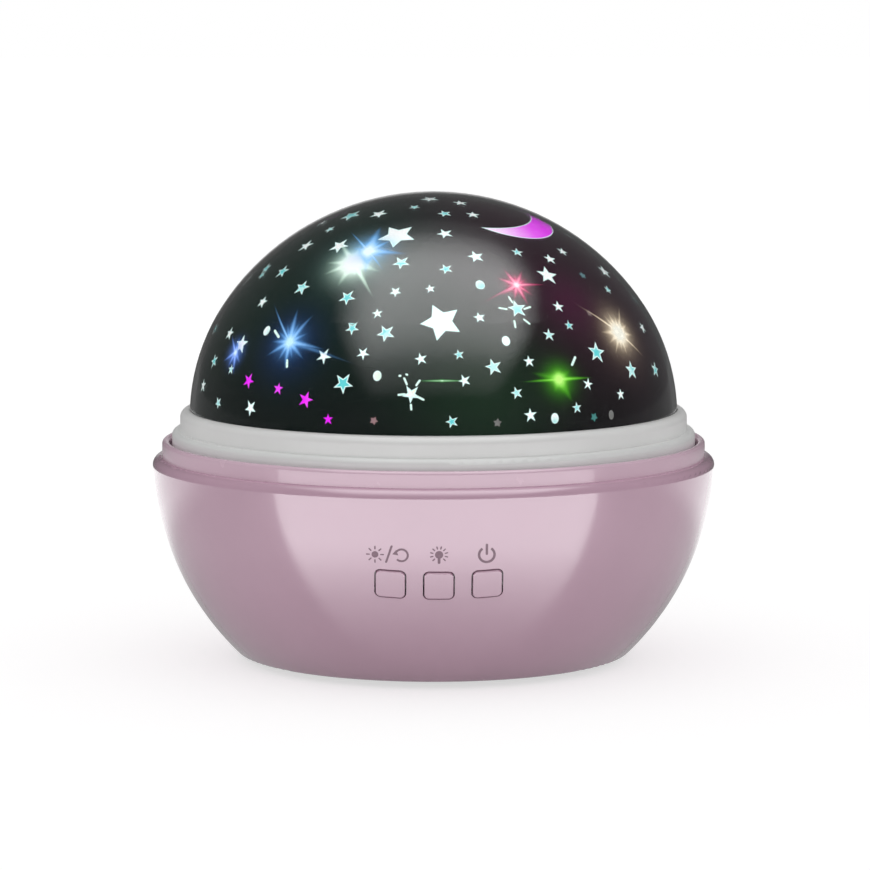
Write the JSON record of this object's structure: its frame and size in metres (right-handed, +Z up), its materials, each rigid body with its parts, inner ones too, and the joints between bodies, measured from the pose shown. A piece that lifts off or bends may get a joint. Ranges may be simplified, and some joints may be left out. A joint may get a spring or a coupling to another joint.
{
  "type": "star night light projector",
  "caption": "Bowl-shaped night light with a star-pierced dome on a motor-driven turntable, front buttons and a battery bay below.",
  "frame": {"origin": "On the dome's axis, level with the undersides of the feet.", "axes": "+Z points up along the dome's axis, -Y is the front with the buttons, +X is to the right seen from the front."},
  "size_m": [0.1304, 0.1304, 0.1083],
  "materials": {
    "pink_plastic": "satin moulded plastic, dusty pink",
    "white_plastic": "satin moulded plastic, pale grey white",
    "clear_plastic": "clear moulded plastic",
    "black_film": "black printed film",
    "cyan_film": "cyan coloured film",
    "magenta_film": "magenta coloured film",
    "diffuser_film": "white translucent film",
    "cell_wrap": "printed metal jacket",
    "nickel_sheet": "nickel-plated sheet",
    "foot_rubber": "soft black rubber",
    "board_laminate": "green laminate",
    "lamp_epoxy": "clear moulded epoxy",
    "gearbox_brass": "brass plates",
    "steel_can": "plated steel can",
    "black_plastic": "black moulded plastic",
    "gear_plastic": "natural acetal",
    "screw_steel": "plated steel",
    "switch_sheet": "switch body with a metal lid"
  },
  "bodies": {
    "base": {"base_bowl": "pink_plastic", "bottom_cover": "pink_plastic", "battery_cells": "cell_wrap", "battery_contacts": "nickel_sheet", "rubber_feet": "foot_rubber", "housing_screws": "screw_steel", "deck_frame": "pink_plastic", "deck_screws": "screw_steel", "light_post": "white_plastic", "post_screws": "screw_steel", "led_board": "board_laminate", "led_lamps": "lamp_epoxy", "gearbox": "gearbox_brass", "motor_can": "steel_can", "motor_end_cap": "black_plastic", "motor_bracket": "white_plastic", "bracket_screws": "screw_steel", "button_switches": "switch_sheet", "button_board": "board_laminate", "button_board_screws": "screw_steel", "main_board": "board_laminate", "board_components": "black_plastic", "board_screws": "screw_steel", "power_socket": "nickel_sheet", "socket_board": "board_laminate", "socket_screws": "screw_steel"},
    "battery_door": {"battery_door": "pink_plastic", "battery_door_screws": "screw_steel"},
    "turntable": {"turntable": "white_plastic"},
    "dome": {"dome_collar": "white_plastic", "film_ring": "white_plastic", "dome_cover": "clear_plastic", "star_mask": "black_film", "cyan_windows": "cyan_film", "magenta_windows": "magenta_film", "diffuser_liner": "diffuser_film"},
    "drive_pinion": {"drive_pinion": "gear_plastic", "motor_shaft": "screw_steel"},
    "rotation_button": {"rotation_button": "pink_plastic", "rotation_plunger": "black_plastic"},
    "lamp_button": {"lamp_button": "pink_plastic", "lamp_plunger": "black_plastic"},
    "power_button": {"power_button": "pink_plastic", "power_plunger": "black_plastic"}
  },
  "joints": [
    {"name": "turntable_spin", "type": "hinge", "parent": "base", "child": "turntable", "pos_m": [0, 0, 0.0505], "axis": [0, 0, 1], "continuous": true},
    {"name": "pinion_spin", "type": "hinge", "parent": "base", "child": "drive_pinion", "pos_m": [0.0425, 0, 0.048], "axis": [0, 0, 1], "continuous": true},
    {"name": "dome_lift", "type": "slide", "parent": "turntable", "child": "dome", "axis": [0, 0, 1], "range_m": [0, 0.06]},
    {"name": "battery_door_drop", "type": "slide", "parent": "base", "child": "battery_door", "axis": [0, 0, -1], "range_m": [0, 0.015]},
    {"name": "rotation_button_press", "type": "slide", "parent": "base", "child": "rotation_button", "axis": [0, 0.938, 0.3466], "range_m": [0, 0.0008], "stiffness_N_per_m": 1200},
    {"name": "lamp_button_press", "type": "slide", "parent": "base", "child": "lamp_button", "axis": [0, 0.938, 0.3466], "range_m": [0, 0.0008], "stiffness_N_per_m": 1200},
    {"name": "power_button_press", "type": "slide", "parent": "base", "child": "power_button", "axis": [0, 0.938, 0.3466], "range_m": [0, 0.0008], "stiffness_N_per_m": 1200}
  ],
  "couplings": [
    {"joint": "pinion_spin", "follows": "turntable_spin", "ratio": 6.6667}
  ]
}
